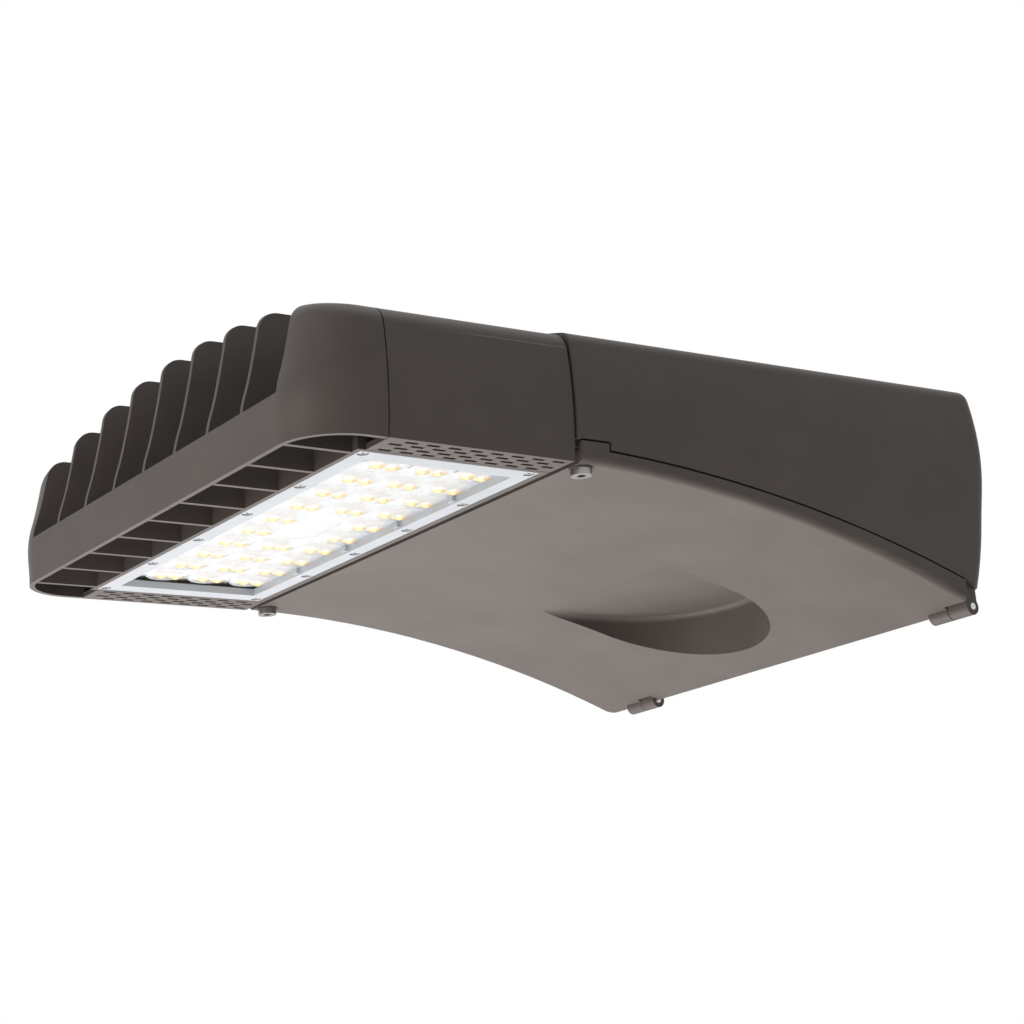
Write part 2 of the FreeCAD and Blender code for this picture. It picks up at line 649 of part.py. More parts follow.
# ---------------------------------------------------------------- light engine
def dome(name, x, y, z, foot, height):
    """A shallow cap that hangs below z."""
    item = doc.addObject("Part::Sphere", name)
    radius = f"((({foot})^2 + ({height})^2) / (2 * ({height})))"
    item.Placement = Placement(Vector(), Rotation(Vector(1, 0, 0), 180))
    bind(item, Radius=radius, Angle1=f"asin(1 - ({height}) / {radius})")
    place(item, x, y, f"({z}) + {radius} - ({height})")
    return item


BOARD_SPAN = (back("ledge_rear - pocket_clearance"), back("ledge_front + pocket_clearance"))
BOARD_WIDE = middle("ledge_half_width - pocket_clearance")
pad = box("pad_sheet", BOARD_SPAN, BOARD_WIDE, (BOARD_BACK, BACKPLANE))
pad_holes = [rod("pad_window", "duct_bore + 0.4", "3", DUCT_X, "0", f"{BOARD_BACK} - 1")]
pad_holes += [rod(f"pad_hole_{k}", "frame_screw_radius + loose", "3", x, y, f"{BOARD_BACK} - 1")
              for k, (x, y) in enumerate(BOARD_FIXES)]
node("thermal_pad", cut("thermal_pad_cut", pad, pad_holes))
board_holes = [rod(f"board_hole_{k}", "frame_screw_radius + 0.2", "4", x, y, f"{BOARD_FACE} - 1")
               for k, (x, y) in enumerate(BOARD_FIXES)]
node("led_board", cut("led_board_cut", box("board_sheet", BOARD_SPAN, BOARD_WIDE, (BOARD_FACE, BOARD_BACK)),
                      board_holes))
board_screws = [screw(f"board_screw_{k}", x, y, BOARD_FACE, "+Z", "frame_screw_radius", "6.0", "2.6", "1.5",
                      "0.9") for k, (x, y) in enumerate(BOARD_FIXES)]
node("board_screws", group("board_screw_set", board_screws))
led_bodies = []
for k, (x, y) in enumerate(LEDS):
    package = box(f"led_package_{k}", (f"{x} - led_side / 2", f"{x} + led_side / 2"),
                  (f"{y} - led_side / 2", f"{y} + led_side / 2"), (f"{BOARD_FACE} - led_height", BOARD_FACE))
    cap = doc.addObject("Part::Cone", f"led_cap_{k}")
    cap.Placement = Placement(Vector(), TURNS["-Z"])
    bind(cap, Radius1="led_dome", Radius2="led_dome * 0.55", Height="0.8")
    place(cap, x, y, f"{BOARD_FACE} - led_height")
    led_bodies.append(fuse(f"led_{k}", [package, cap]))
node("leds", group("led_set", led_bodies))
plug = rod("plug_body", "duct_bore - 0.5", "7", DUCT_X, "0", BOARD_BACK)
plug_ways = [rod(f"plug_way_{s}", "lead_radius + 0.05", "3", DUCT_X, f"({s}) * (lead_radius + 0.3)",
                 f"{BOARD_BACK} + 5") for s in (1, -1)]
node("board_connector", cut("board_plug", plug, plug_ways))

gasket_blank = box("optic_seal_blank", (back("frame_rear - 0.5"), back("frame_front + 0.5")),
                   middle("frame_half_width - 0.5"), (LENS_FACE, f"{LENS_FACE} + seal_thickness"))
gasket_window = box("optic_seal_window", (back("ledge_rear + 0.3"), back("ledge_front - 0.3")),
                    middle("ledge_half_width + 0.3"), (f"{LENS_FACE} - 1", f"{LENS_FACE} + seal_thickness + 1"))
gasket_holes = [rod(f"optic_seal_hole_{k}", "frame_screw_radius + 0.4", "4", x, y, f"{LENS_FACE} - 1")
                for k, (x, y) in enumerate(FRAME_FIXES)]
node("optic_gasket", cut("optic_seal", gasket_blank, [gasket_window] + gasket_holes))

sheet_parts = [box("lens_blank", (back("ledge_rear - 0.8"), back("ledge_front + 0.8")),
                   middle("led_pitch * (led_columns - 1) / 2"), (LENS_FACE, LENS_BACK))]
for row in range(int(val("led_rows"))):
    for s in (1, -1):
        sheet_parts.append(rod(f"lens_lobe_{row}_{s}", "lobe_radius", "lens_sheet",
                               back(f"led_row_back + led_row_pitch * {row}"),
                               f"({s}) * led_pitch * (led_columns - 1) / 2", LENS_FACE))
for k, (x, y) in enumerate(LEDS):
    sheet_parts.append(dome(f"lens_{k}", x, y, f"{LENS_FACE} + 0.3", "lens_radius", "lens_rise + 0.3"))
blank_edge = "(led_row_pitch * 0.38)"
blank_reach = "(led_pitch * 0.42)"
sheet_parts.append(box("blank_lens_middle", (f"{DUCT_X} - {blank_edge}", f"{DUCT_X} + {blank_edge}"),
                       middle(blank_reach), (f"{LENS_FACE} - 1.2", f"{LENS_FACE} + 0.3")))
for s in (1, -1):
    sheet_parts.append(rod(f"blank_lens_end_{s}", blank_edge, "1.5", DUCT_X, f"({s}) * {blank_reach}",
                           f"{LENS_FACE} - 1.2"))
for r in (0.5, 1.5):
    for k in (-3, -1, 1, 3):
        sheet_parts.append(rod(f"lens_post_{r}_{k}".replace(".", "_").replace("-", "m"), "1.5",
                               "lens_lift + 0.4", back(f"led_row_back + led_row_pitch * {r}"),
                               f"({k} * led_pitch)", f"{LENS_BACK} - 0.4"))
node("lens_array", fuse("lens_sheet_body", sheet_parts))

frame_blank = box("frame_blank", (back("frame_rear"), back("frame_front")), middle("frame_half_width"),
                  (FLOOR, LENS_FACE))
frame_cuts = [box("frame_window", (back("window_rear"), back("window_front")), middle("window_half_width"),
                  (f"{FLOOR} - 1", f"{LENS_FACE} + 1"))]
for k, (x, y) in enumerate(FRAME_FIXES):
    frame_cuts.append(rod(f"frame_hole_{k}", "frame_screw_radius + 0.3", "frame_thickness + 2", x, y,
                          f"{FLOOR} - 1"))
    frame_cuts.append(rod(f"frame_sink_{k}", "frame_screw_radius * 2", "3.2", x, y, f"{FLOOR} - 1"))
frame_tabs = []
for k in (-1.5, -0.5, 0.5, 1.5):
    y = f"({k} * frame_screw_pitch)"
    name = str(k).replace(".", "_").replace("-", "m")
    frame_tabs.append(box(f"frame_tab_rear_{name}", (back("window_rear + 0.5"), back("window_rear - 2.2")),
                          (f"{y} - 2.5", f"{y} + 2.5"), (f"{FLOOR} + 0.8", LENS_FACE)))
    frame_tabs.append(box(f"frame_tab_front_{name}", (back("window_front + 2.2"), back("window_front - 0.5")),
                          (f"{y} - 2.5", f"{y} + 2.5"), (f"{FLOOR} + 0.8", LENS_FACE)))
node("optic_frame", fuse("frame_body", [cut("frame_ring", frame_blank, frame_cuts)] + frame_tabs))
frame_screws = [screw(f"frame_screw_{k}", x, y, f"{FLOOR} + 2.2", "+Z", "frame_screw_radius", "9.5",
                      "frame_screw_radius * 1.75", "1.7", "0.9") for k, (x, y) in enumerate(FRAME_FIXES)]
node("optic_screws", group("frame_screw_set", frame_screws))


# ---------------------------------------------------------------- driver housing: one casting
HOUSING_X = val(HOUSING_FRONT)
PROUD = val("housing_proud")
WALL = val("housing_wall")
form = housing_hull(PROUD, val("top_round"), HOUSING_X)
cavity = housing_hull(PROUD - WALL, val("top_round") - WALL, HOUSING_X - WALL)
beyond = (-40.0, HOUSING_X + 20, -230.0, 230.0)
above_lip = between(lip, level(HULL_HIGH), *beyond)
above_rim = between(lifted(lip, val("rim_height")), level(HULL_HIGH), *beyond)
rim_window = val("low_half_width") + PROUD - WALL - val("rim_width")
window = between(level(HULL_LOW), level(0.0), val("rim_rear"), val(back("rim_front_back")), -rim_window, rim_window)
shell = form.common(above_lip).cut(cavity.common(above_rim)).cut(window)
housing_shell = solid("housing_shell", shell)
housing_form = solid("housing_form", form)

pad_block = box("pad_block", ("0", "pad_depth"), middle("pad_half_width"), middle("pad_half_height"))
posts = [rod(f"tray_post_{k}", "post_radius", f"{CEILING} - {TRAY_Z} - tray_thickness", x, y,
             f"{TRAY_Z} + tray_thickness") for k, (x, y) in enumerate(TRAY_FIXES)]
tray_posts = common("tray_posts", housing_form, fuse("tray_post_rods", posts))
lugs = []
LUGS = [("left", "left_knuckle_start + knuckle_length + hinge_side_gap", "left_lug_length"),
        ("right", "right_knuckle_start + knuckle_length + hinge_side_gap", "right_lug_length")]
for word, start, length in LUGS:
    lugs.append(rod(f"lug_eye_{word}", "knuckle_radius", length, "hinge_x", start, HINGE_Z, "+Y"))
    lugs.append(box(f"lug_web_{word}", ("hinge_x - knuckle_radius + 1", "hinge_x + knuckle_radius"),
                    (start, f"{start} + {length}"), (HINGE_Z, f"{HINGE_Z} + 18")))
ground_post = rod("ground_post", "post_radius", "12.5", f"{BULKHEAD_REAR} - 12", "-60", FLOOR + " + 24", "+X")
holes = [rod("entry_hole", "entry_hole", "pad_depth + 4", "-2", "0", "0", "+X")]
for s in (1, -1):
    holes.append(rod(f"bolt_hole_{s}", "bolt_hole", "pad_depth + 4", "-2", "0", f"({s}) * bolt_spacing / 2", "+X"))
PLATE_FIXES = [(f"({a}) * (pad_half_width - 8)", f"({b}) * 24") for a in (1, -1) for b in (1, -1)]
for k, (y, z) in enumerate(PLATE_FIXES):
    holes.append(rod(f"plate_thread_{k}", "small_screw_radius + fit", "pad_depth - 4", "5", y, z, "+X"))
for k, (y, z) in enumerate(JOINTS):
    holes.append(rod(f"bulkhead_hole_{k}", "joint_screw_radius + loose", "housing_wall + 4",
                     f"{BULKHEAD_REAR} - 2", y, z, "+X"))
holes.append(rod("bulkhead_wire_hole", "duct_bore + 2.4", "housing_wall + 4", f"{BULKHEAD_REAR} - 2", "0",
                 DUCT_Z, "+X"))
for k, (x, y) in enumerate(TRAY_FIXES):
    holes.append(rod(f"tray_thread_{k}", "small_screw_radius + fit", "13", x, y, f"{TRAY_Z} + tray_thickness - 1"))
holes.append(rod("ground_thread", "small_screw_radius + fit * 3", "11", f"{BULKHEAD_REAR} - 13", "-60",
                 FLOOR + " + 24", "+X"))
for s in (1, -1):
    holes.append(rod(f"captive_hole_{s}", "captive_hole", "rim_height + 6", CAPTIVE_X,
                     f"({s}) * captive_half_width", rise("lip_rise - 3")))
    holes.append(box(f"tab_notch_{s}", (f"{CAPTIVE_X} - 12.4", f"{HOUSING_FRONT} + 1"),
                     sided(s, "low_half_width + housing_proud - housing_wall + 0.1", "low_half_width + 20"),
                     (rise("lip_rise - 4"), rise("lip_rise + 3.6"))))
for word, start, length in LUGS:
    holes.append(rod(f"lug_bore_{word}", "hinge_pin_radius + 0.01", f"{length} + 2", "hinge_x", f"{start} - 1",
                     HINGE_Z, "+Y"))
housing_body = fuse("housing_body", [housing_shell, pad_block, tray_posts, ground_post] + lugs)
driver_housing = node("driver_housing", cut("housing_machined", housing_body, holes))

# the sheet gasket between head and housing, and the screws that hold the two together
seal_form = solid("seam_seal_form", housing_hull(-5.0, 0, val(HEAD_REAR)))
seal = common("seam_seal", seal_form, box("seam_seal_block", (HOUSING_FRONT, HEAD_REAR),
                                          middle("bulge_half_width"), (rise(12), CEILING)))
seal_holes = [rod(f"seam_seal_hole_{k}", "joint_screw_radius + loose", "seam_gap + 2", f"{HOUSING_FRONT} - 1",
                  y, z, "+X") for k, (y, z) in enumerate(JOINTS)]
seal_holes.append(rod("seam_seal_wire", "duct_bore + 1", "seam_gap + 2", f"{HOUSING_FRONT} - 1", "0", DUCT_Z,
                      "+X"))
node("seam_gasket", cut("seam_seal_cut", seal, seal_holes))
joint_screws = [screw(f"joint_screw_{k}", BULKHEAD_REAR, y, z, "+X", "joint_screw_radius",
                      "housing_wall + seam_gap + 12", "joint_screw_radius * 1.7", "joint_screw_radius * 2",
                      "joint_screw_radius * 0.9") for k, (y, z) in enumerate(JOINTS)]
node("joint_screws", group("joint_screw_set", joint_screws))
grommet = fuse("grommet_body", [
    rod("grommet_neck", "duct_bore + 2.3", "housing_wall", BULKHEAD_REAR, "0", DUCT_Z, "+X"),
    rod("grommet_flange", "duct_bore + 3.6", "2", f"{BULKHEAD_REAR} - 2", "0", DUCT_Z, "+X")])
node("wire_grommet", cut("grommet", grommet, [rod("grommet_bore", "duct_bore - 1", "housing_wall + 4",
                                                  f"{BULKHEAD_REAR} - 3", "0", DUCT_Z, "+X")]))

# mounting hardware behind the pad
plate = box("plate_blank", ("pad_depth", "pad_depth + plate_thickness"), middle("pad_half_width - 3"),
            middle("pad_half_height - 6"))
plate_holes = [rod("plate_entry", "entry_hole", "plate_thickness + 2", "pad_depth - 1", "0", "0", "+X")]
for s in (1, -1):
    plate_holes.append(rod(f"plate_bolt_{s}", "bolt_hole", "plate_thickness + 2", "pad_depth - 1", "0",
                           f"({s}) * bolt_spacing / 2", "+X"))
for k, (y, z) in enumerate(PLATE_FIXES):
    plate_holes.append(rod(f"plate_fix_{k}", "small_screw_radius + loose", "plate_thickness + 2",
                           "pad_depth - 1", y, z, "+X"))
node("backing_plate", cut("backing_plate_cut", plate, plate_holes))
plate_screws = [screw(f"plate_screw_{k}", "pad_depth + plate_thickness", y, z, "-X", "small_screw_radius",
                      "plate_thickness + 6", "small_screw_radius * 1.9", "2.6", "1.4")
                for k, (y, z) in enumerate(PLATE_FIXES)]
node("plate_screws", group("plate_screw_set", plate_screws))
bushing = fuse("bushing_body", [
    rod("bushing_neck", "entry_hole - 0.2", "pad_depth + plate_thickness - 0.5", "0.5", "0", "0", "+X"),
    rod("bushing_flange", "entry_flange", "2.5", "pad_depth + plate_thickness", "0", "0", "+X")])
node("entry_bushing", cut("bushing", bushing, [rod("bushing_bore", "entry_bore",
                                                   "pad_depth + plate_thickness + 6", "-1", "0", "0", "+X")]))


# ---------------------------------------------------------------- gear tray and what hangs from it
UNDER = TRAY_Z
GEAR = [
    # name, x span, y span, height below the tray, screw places
    ("led_driver", ("(overall_length - driver_rear)", "(overall_length - driver_rear) + driver_length"), ("driver_inner", "driver_inner + driver_width"),
     "driver_height"),
    ("surge_protector", ("(overall_length - driver_rear) + 4", "(overall_length - driver_rear) + 4 + surge_length"),
     ("-driver_inner - surge_width - 14", "-driver_inner - 14"), "surge_height"),
    ("terminal_block", ("(overall_length - driver_rear) + 116", "(overall_length - driver_rear) + 116 + block_length"),
     ("-driver_inner - block_width + 14", "-driver_inner + 14"), "block_height"),
]
tray_holes = [rod(f"tray_hole_{k}", "small_screw_radius + loose", "tray_thickness + 2", x, y, f"{TRAY_Z} - 1")
              for k, (x, y) in enumerate(TRAY_FIXES)]
for name, x, y, height in GEAR:
    inset = "6" if name != "led_driver" else "8"
    if name == "terminal_block":
        places = [(f"({x[0]} + {x[1]}) / 2", f"({y[0]}) + {inset}"), (f"({x[0]} + {x[1]}) / 2", f"({y[1]}) - {inset}")]
    else:
        places = [(f"({a})", f"({b})") for a in (f"{x[0]} + {inset}", f"{x[1]} - {inset}")
                  for b in (f"{y[0]} + {inset}", f"{y[1]} - {inset}")]
    threads = []
    fixings = []
    for k, (px, py) in enumerate(places):
        threads.append(rod(f"{name}_thread_{k}", "small_screw_radius + fit", "9.5", px, py, f"{UNDER} - 8.5"))
        tray_holes.append(rod(f"{name}_hole_{k}", "small_screw_radius + loose", "tray_thickness + 2", px, py,
                              f"{TRAY_Z} - 1"))
        fixings.append(screw(f"{name}_fixing_{k}", px, py, f"{TRAY_Z} + tray_thickness", "-Z",
                             "small_screw_radius", "tray_thickness + 8", "small_screw_radius * 1.9", "2.6", "1.4"))
    body = box(f"{name}_body", x, y, (f"{UNDER} - {height}", UNDER))
    node(name, cut(f"{name}_drilled", body, threads))
    node(f"{name}_screws", group(f"{name}_screw_set", fixings))
tray = box("tray_sheet", ("(overall_length - tray_rear)", "(overall_length - tray_front)"), middle("tray_half_width"),
           (TRAY_Z, f"{TRAY_Z} + tray_thickness"))
node("gear_tray", cut("gear_tray_cut", tray, tray_holes))
tray_screws = [screw(f"tray_screw_{k}", x, y, TRAY_Z, "+Z", "small_screw_radius", "tray_thickness + 11",
                     "small_screw_radius * 1.9", "2.6", "1.4") for k, (x, y) in enumerate(TRAY_FIXES)]
node("tray_screws", group("tray_screw_set", tray_screws))
node("ground_screw", screw("ground", f"{BULKHEAD_REAR} - 12", "-60", FLOOR + " + 24", "+X", "small_screw_radius",
                           "9", "small_screw_radius * 2.2", "2.8", "1.4"))


def lead(name, points, bend):
    """A round wire through the points, each corner turned on an arc."""
    points = [Vector(*[val(part) for part in point]) for point in points]
    edges = []
    start = points[0]
    for before, corner, after in zip(points, points[1:], points[2:]):
        inward = (before - corner).normalize()
        outward = (after - corner).normalize()
        half = inward.getAngle(outward) / 2
        reach = bend / math.tan(half)
        a, b = corner + inward * reach, corner + outward * reach
        bisector = (inward + outward).normalize()
        mid = corner + bisector * (bend / math.sin(half) - bend)
        edges += [segment(start, a), bow(a, mid, b)]
        start = b
    edges.append(segment(start, points[-1]))
    path = Part.Wire(edges)
    direction = points[1] - points[0]
    ring_wire = Part.Wire(Part.makeCircle(val("lead_radius"), points[0], direction))
    return solid(name, path.makePipeShell([ring_wire], True, True))


DRIVER_FRONT = "(overall_length - driver_rear) + driver_length"
DRIVER_SIDE = "driver_inner + driver_width / 2"
plug_top = f"{BOARD_BACK} + 5.1"
output = []
for k, s in enumerate((1, -1)):
    y = f"({s}) * (lead_radius + 0.3)"
    turn_x = f"{DRIVER_FRONT} + 16 - {4 * k}"
    start_y = f"{DRIVER_SIDE} - {6 * k}"
    output.append(lead(f"output_lead_{k}", [(DRIVER_FRONT, start_y, f"{UNDER} - 25"),
                                            (turn_x, start_y, f"{UNDER} - 25"), (turn_x, y, DUCT_Z),
                                            (DUCT_X, y, DUCT_Z), (DUCT_X, y, plug_top)], 5.0))
node("output_leads", group("output_lead_pair", output))
block_rear, block_side = GEAR[2][1][0], f"{GEAR[2][2][1]} - 12"
incoming = []
for k in (0, 1):
    z = f"{UNDER} - 4"
    y = f"{block_side} - {5 * k}"
    end_y = f"{DRIVER_SIDE} + {6 * k}"
    turn_x = f"(overall_length - driver_rear) - 10 - {5 * k}"
    incoming.append(lead(f"input_lead_{k}", [(block_rear, y, z), (turn_x, y, z), (turn_x, end_y, z),
                                             ("(overall_length - driver_rear)", end_y, z)], 5.0))
node("input_leads", group("input_lead_pair", incoming))
surge_front = GEAR[1][1][1]
surge = [rod(f"surge_lead_{k}", "lead_radius", f"({block_rear}) - ({surge_front})", surge_front,
             f"-driver_inner - 28 - {6 * k}", f"{UNDER} - 10", "+X") for k in (0, 1)]
node("surge_leads", group("surge_lead_pair", surge))


# ---------------------------------------------------------------- hinge pins, fixed in the housing's lugs
PINS = [("left", "left_knuckle_start + 0.5", "knuckle_length + hinge_side_gap + left_lug_length"),
        ("right", "right_knuckle_start - 3", "knuckle_length + hinge_side_gap + right_lug_length + 3")]
for word, start, length in PINS:
    node(f"hinge_pin_{word}", rod(f"pin_{word}", "hinge_pin_radius", length, "hinge_x", start, HINGE_Z, "+Y"))


# ---------------------------------------------------------------- door: one casting
DOOR_X = val(back("door_front"))
GASKET_TOP = -val("gasket_clearance")
GASKET_FOOT = GASKET_TOP - val("gasket_height")
SEAL_IN = rim_window + 0.7
SEAL_OUT = SEAL_IN + val("gasket_width")
SEAL_X0 = val("rim_rear") - 2 - val("gasket_width")
SEAL_X1 = val(back("rim_front_back")) + 2.8 + val("gasket_width")
blank = form.common(between(underside, lifted(lip, -val("door_gap")), -40.0, DOOR_X, -230.0, 230.0))


def door_edge(edge):
    """The long lower edges at the sides and the rear, with the corner arcs between them."""
    bounds = edge.BoundBox
    ends = [vertex.Point for vertex in edge.Vertexes]
    low = all(abs(p.z - underside(p.x)) < 0.01 for p in ends)
    return low and bounds.XMin < DOOR_X - 10


blank = blank.makeFillet(val("door_round"), [edge for edge in blank.Edges if door_edge(edge)])
recess_z = underside(val("recess_front"))
recess_x = val("recess_centre")


def recess(grow):
    """The hand recess: straight-sided ahead, round behind, with a level floor."""
    half = val("recess_half_width") + grow
    low = HULL_LOW
    height = recess_z + grow - low
    straight = Part.makeBox(70, 2 * half, height, Vector(recess_x, -half, low))
    tool = straight.fuse(Part.makeCylinder(half, height, Vector(recess_x, 0, low))).removeSplitter()
    roof = [edge for edge in tool.Edges if edge.BoundBox.ZMin > recess_z - 1]
    return tool.makeFillet(val("recess_round") + grow, roof)


inside = between(lifted(underside, val("door_wall")), level(0.0), SEAL_X0 + val("gasket_width"),
                 SEAL_X1 - val("gasket_width"), -SEAL_IN, SEAL_IN).cut(recess(val("door_wall")))
channel = between(lifted(lip, GASKET_FOOT), level(0.0), SEAL_X0 - 0.2, SEAL_X1 + 0.2, -SEAL_OUT - 0.2,
                  SEAL_OUT + 0.2).cut(recess(val("door_wall")))
above_door = between(underside, level(0.0), recess_x - 90.0, recess_x + 90.0, -90.0, 90.0)
pan = blank.fuse(recess(val("door_wall")).common(above_door)).cut(recess(0.0))
pan_shell = solid("pan_shell", pan.cut(inside).cut(channel))
door_parts = [pan_shell]
door_cuts = []
KNUCKLES = [("left", "left_knuckle_start"), ("right", "right_knuckle_start")]
NOTCHES = [("left", "left_knuckle_start + knuckle_length", "50"),
           ("right", "right_knuckle_start + knuckle_length", "hinge_side_gap + right_lug_length + 1")]
notch_blocks = []
for word, start, length in NOTCHES:
    notch_blocks.append(box(f"lug_notch_{word}", ("-5", "hinge_x + knuckle_radius + 2.5"),
                            (start, f"{start} + {length}"), (f"{HINGE_Z} - 20", f"{HINGE_Z} + 30")))
for word, start in KNUCKLES:
    door_parts.append(rod(f"knuckle_{word}", "knuckle_radius", "knuckle_length", "hinge_x", start, HINGE_Z, "+Y"))
door_cuts.append(rod("knuckle_bore_left", "hinge_pin_radius + pin_clearance", "knuckle_length + 1", "hinge_x",
                     "left_knuckle_start", HINGE_Z, "+Y"))
door_cuts.append(rod("knuckle_bore_right", "hinge_pin_radius + pin_clearance", "knuckle_length + 4", "hinge_x",
                     "right_knuckle_start - 4", HINGE_Z, "+Y"))
for s in (1, -1):
    y = f"({s}) * captive_half_width"
    door_parts.append(rod(f"captive_boss_{s}", "captive_head_radius + 0.8", "2", CAPTIVE_X, y, CAPTIVE_SEAT))
    door_cuts.append(rod(f"captive_way_{s}", "captive_hole", "20", CAPTIVE_X, y, f"{CAPTIVE_SEAT} - 5"))
    door_cuts.append(rod(f"captive_room_{s}", "washer_radius + 0.4", "20", CAPTIVE_X, y,
                         rise("lip_rise - door_gap - 1 - washer_thickness - captive_travel - 0.4")))
    tab = common(f"door_tab_{s}", housing_form,
                 box(f"door_tab_block_{s}", (f"{CAPTIVE_X} - 11.2", back("door_front")),
                     sided(s, "low_half_width + housing_proud - housing_wall + 0.4", "low_half_width + 20"),
                     (rise("lip_rise - 5"), rise("lip_rise + 2.4"))))
    door_parts.append(tab)
door_body = cut("door_notched", fuse("door_with_knuckles", door_parts), notch_blocks + door_cuts)
node("door_pan", door_body)
seal_ring = ring(lifted(lip, GASKET_FOOT), lifted(lip, GASKET_TOP), (SEAL_X0, SEAL_X1, SEAL_OUT),
                 (SEAL_X0 + val("gasket_width"), SEAL_X1 - val("gasket_width"), SEAL_IN))
node("door_gasket", solid("door_seal", seal_ring))


# ---------------------------------------------------------------- captive screws and their washers
for s, word in ((1, "left"), (-1, "right")):
    y = f"({s}) * captive_half_width"
    tip = rise("lip_rise - 0.34 + captive_engagement - 0.3")
    body = screw(f"captive_{word}", CAPTIVE_X, y, f"{CAPTIVE_SEAT} - 0.05", "+Z", "captive_radius",
                 f"{tip} - ({CAPTIVE_SEAT}) + 0.05", "captive_head_radius", "captive_head_height", "2.4")
    node(f"captive_screw_{word}", body)
    disc = rod(f"washer_disc_{word}", "washer_radius", "washer_thickness", CAPTIVE_X, y,
               rise("lip_rise - door_gap - 1 - washer_thickness"))
    node(f"retaining_washer_{word}", cut(f"washer_{word}", disc, [
        rod(f"washer_bore_{word}", "captive_radius + 0.02", "washer_thickness + 2", CAPTIVE_X, y,
            rise("lip_rise - door_gap - 2 - washer_thickness"))]))


# ---------------------------------------------------------------- check and write the parts
doc.recompute()
for item in doc.Objects:
    if "Invalid" in item.State or "Error" in item.State:
        raise RuntimeError(f"{item.Name} could not be built")
os.makedirs("parts", exist_ok=True)
for label, item in NODES:
    shape = item.Shape
    if shape.isNull() or not shape.isValid() or not shape.Solids:
        raise RuntimeError(f"{label} has no valid solid")
    shape.exportStep(f"parts/{label}.step")
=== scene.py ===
import math

import bpy
import numpy as np
from mathutils import Matrix, Vector


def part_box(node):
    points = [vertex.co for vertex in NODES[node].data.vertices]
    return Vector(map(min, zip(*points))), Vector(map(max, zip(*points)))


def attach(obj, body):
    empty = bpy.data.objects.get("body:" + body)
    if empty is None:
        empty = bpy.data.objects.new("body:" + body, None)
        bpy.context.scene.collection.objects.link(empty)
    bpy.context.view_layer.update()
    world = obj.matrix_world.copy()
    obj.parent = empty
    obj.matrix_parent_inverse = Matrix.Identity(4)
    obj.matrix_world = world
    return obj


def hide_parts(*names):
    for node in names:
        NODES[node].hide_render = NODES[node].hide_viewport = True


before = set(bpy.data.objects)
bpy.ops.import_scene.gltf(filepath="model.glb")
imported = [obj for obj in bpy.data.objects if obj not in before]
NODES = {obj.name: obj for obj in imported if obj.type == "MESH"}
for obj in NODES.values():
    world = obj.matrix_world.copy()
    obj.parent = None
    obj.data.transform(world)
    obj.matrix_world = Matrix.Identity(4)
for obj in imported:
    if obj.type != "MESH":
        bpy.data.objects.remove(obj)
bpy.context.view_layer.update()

bl_info = {
    "name": "Shoebox area light",
    "version": (1, 0, 0),
    "blender": (4, 5, 0),
    "location": "View3D > Sidebar > Area Light",
    "description": "Finishes, optic details and stage for a shoebox area light",
    "category": "Object",
}

# optic, in metres
ROW_CENTRE = sum(corner.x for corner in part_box("leds")) / 2
OUTER_PITCHES = 4.5            # from the middle to the last LED across the light, in column pitches
SCALLOP_RADIUS = 0.0131        # round ends of the lens sheet, one at each row
SHEET_FRONT = 0.0032           # lens sheet's lower face, below the top of the CAD node
SHEET_BACK = 0.002             # lens sheet's upper face, below the top of the CAD node
FOOT_RADIUS = 0.0126           # round foot under each lens
PEAK_WIDTH = 0.0034            # fall-off of a lens's peak along X
PEAK_LENGTH = 0.0042           # fall-off of a lens's peak along Y
OVAL_RADIUS = 0.0105           # round ends of the flat oval in the middle
OVAL_REACH = 0.011             # from the middle to the centre of an oval's round end
OVAL_HEIGHT = 0.0012           # height of the oval
SHEET_ROWS, SHEET_COLUMNS = 118, 330
CREASE_ANGLE = 50              # degrees
PAINTED_IMAGE_WIDTH = 0.005            # painted refraction of the LED's phosphor in a peak, along X
PAINTED_IMAGE_LENGTH = 0.0046          # painted refraction of the LED's phosphor in a peak, along Y
DOME_INNER, DOME_OUTER = 0.0013, 0.0016   # the LED's yellow dome fades out between these radii
PACKAGE = (0.85, 0.85, 0.82)   # white body of an LED

# stage
WHITE = (1.0, 1.0, 1.0, 1.0)
SOFT_LIGHT = 0.18              # strength of the even light from all round
FLOOR_RADIUS, FLOOR_Z, FLOOR_CORNERS = 6, -0.9, 64
LAMPS = (                      # name, place, point it faces, diameter, watts
    ("under", (0.35, -0.1, -0.85), (0.2, 0.0, 0.0), 1.5, 20.0),
    ("front", (1.9, 0.2, 0.1), (0.3, 0.0, 0.0), 1.2, 7.0),
    ("over", (0.1, 0.4, 1.8), (0.2, 0.0, 0.0), 1.6, 9.0),
)
# the photograph's camera: 49.8 degrees off the nose and 13.3 degrees below
SENSOR_WIDTH, LENS_LENGTH = 36.0, 76.06
CAMERA_PLACE = (0.96813, 0.98762, -0.32532)
CAMERA_RIGHT = (-0.807952, 0.583739, -0.080397)
CAMERA_UP = (0.089226, 0.256064, 0.962533)
CAMERA_BACK = (0.582454, 0.770507, -0.258972)


# ------------------------------------------------------------------------------------------------
# shader writing
# ------------------------------------------------------------------------------------------------
def add_node(tree, kind, settings, values):
    """Adds a node: its settings first, then the values or links of its sockets."""
    made = tree.nodes.new(kind)
    for name, value in settings.items():
        setattr(made, name, value)
    for key, value in values.items():
        if isinstance(value, Wire):
            value = value.socket
        if isinstance(value, bpy.types.NodeSocket):
            tree.links.new(value, made.inputs[key])
        elif value is not None:
            made.inputs[key].default_value = value
    return made


